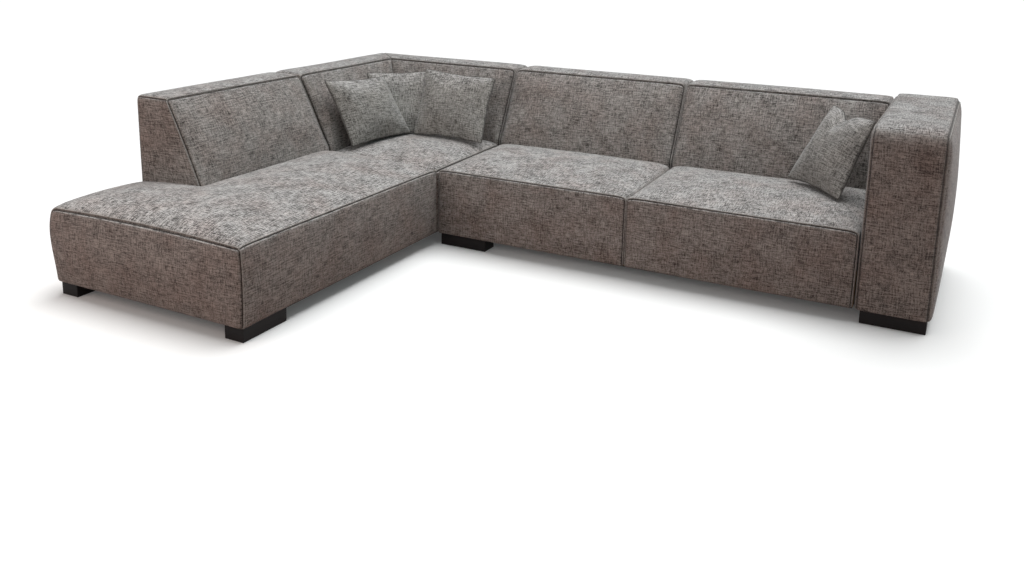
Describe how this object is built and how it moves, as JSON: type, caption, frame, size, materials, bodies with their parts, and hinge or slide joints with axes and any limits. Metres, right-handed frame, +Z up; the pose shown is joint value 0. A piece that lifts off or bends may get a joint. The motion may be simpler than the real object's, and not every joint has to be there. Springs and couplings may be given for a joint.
{
  "type": "modular sectional sofa",
  "caption": "L-shaped sectional sofa with an open-ended chaise wing, a square corner, a run of seats ending in a box arm, block feet and loose throw pillows.",
  "frame": {"origin": "bottom centre of the whole sofa, on the floor", "axes": "+X to the viewer's right along the two-seat run, +Y to the back, +Z up"},
  "size_m": [3.37, 2.48, 0.8379],
  "materials": {
    "sofa_fabric": "matte",
    "pillow_fabric": "matte",
    "dust_cloth": "matte",
    "foam": "matte",
    "dark_wood": "satin",
    "webbing": "matte",
    "steel": "satin",
    "frame_timber": "matte"
  },
  "bodies": {
    "wing_module": {"corner_rear_cover": "sofa_fabric", "corner_rear_foam": "foam", "corner_seat_cover": "sofa_fabric", "corner_seat_foam": "foam", "corner_side_cover": "sofa_fabric", "corner_side_foam": "foam", "dock_plates": "steel", "dock_screws": "steel", "wing_back_brackets": "steel", "wing_back_cover": "sofa_fabric", "wing_back_foam": "foam", "wing_back_posts": "frame_timber", "wing_back_rails": "frame_timber", "wing_back_webbing": "webbing", "wing_cross_rails": "frame_timber", "wing_dust_cover": "dust_cloth", "wing_feet": "dark_wood", "wing_foot_bolts": "steel", "wing_ledge_boards": "frame_timber", "wing_long_rails": "frame_timber", "wing_seat_cover": "sofa_fabric", "wing_seat_foam": "foam", "wing_spring_clips": "steel", "wing_spring_rails": "frame_timber", "wing_springs": "steel"},
    "two_seat_module": {"arm_bolts": "steel", "arm_cover": "sofa_fabric", "arm_dust_cover": "dust_cloth", "arm_foam": "foam", "arm_frame": "frame_timber", "dock_pins": "steel", "left_back_cover": "sofa_fabric", "left_back_foam": "foam", "left_seat_cover": "sofa_fabric", "left_seat_foam": "foam", "right_back_cover": "sofa_fabric", "right_back_foam": "foam", "right_seat_cover": "sofa_fabric", "right_seat_foam": "foam", "run_back_brackets": "steel", "run_back_posts": "frame_timber", "run_back_rails": "frame_timber", "run_back_webbing": "webbing", "run_cross_rails": "frame_timber", "run_dust_cover": "dust_cloth", "run_feet": "dark_wood", "run_foot_bolts": "steel", "run_ledge_boards": "frame_timber", "run_long_rails": "frame_timber", "run_spring_clips": "steel", "run_spring_rails": "frame_timber", "run_springs": "steel"},
    "left_pillow": {"left_pillow_cover": "pillow_fabric", "left_pillow_insert": "foam"},
    "middle_pillow": {"middle_pillow_cover": "pillow_fabric", "middle_pillow_insert": "foam"},
    "right_pillow": {"right_pillow_cover": "pillow_fabric", "right_pillow_insert": "foam"},
    "arm_pillow": {"arm_pillow_cover": "pillow_fabric", "arm_pillow_insert": "foam"}
  },
  "joints": [
    {"name": "two_seat_module_lift", "type": "slide", "parent": "wing_module", "child": "two_seat_module", "axis": [0, 0, 1], "range_m": [0, 0.1]},
    {"name": "left_pillow_lift", "type": "slide", "parent": "wing_module", "child": "left_pillow", "axis": [0, 0, 1], "range_m": [0, 0.4]},
    {"name": "middle_pillow_lift", "type": "slide", "parent": "wing_module", "child": "middle_pillow", "axis": [-0.3482, 0.3482, 0.8704], "range_m": [0, 0.3]},
    {"name": "right_pillow_lift", "type": "slide", "parent": "wing_module", "child": "right_pillow", "axis": [0, 0, 1], "range_m": [0, 0.4]},
    {"name": "arm_pillow_lift", "type": "slide", "parent": "two_seat_module", "child": "arm_pillow", "axis": [0, 0, 1], "range_m": [0, 0.4]}
  ]
}
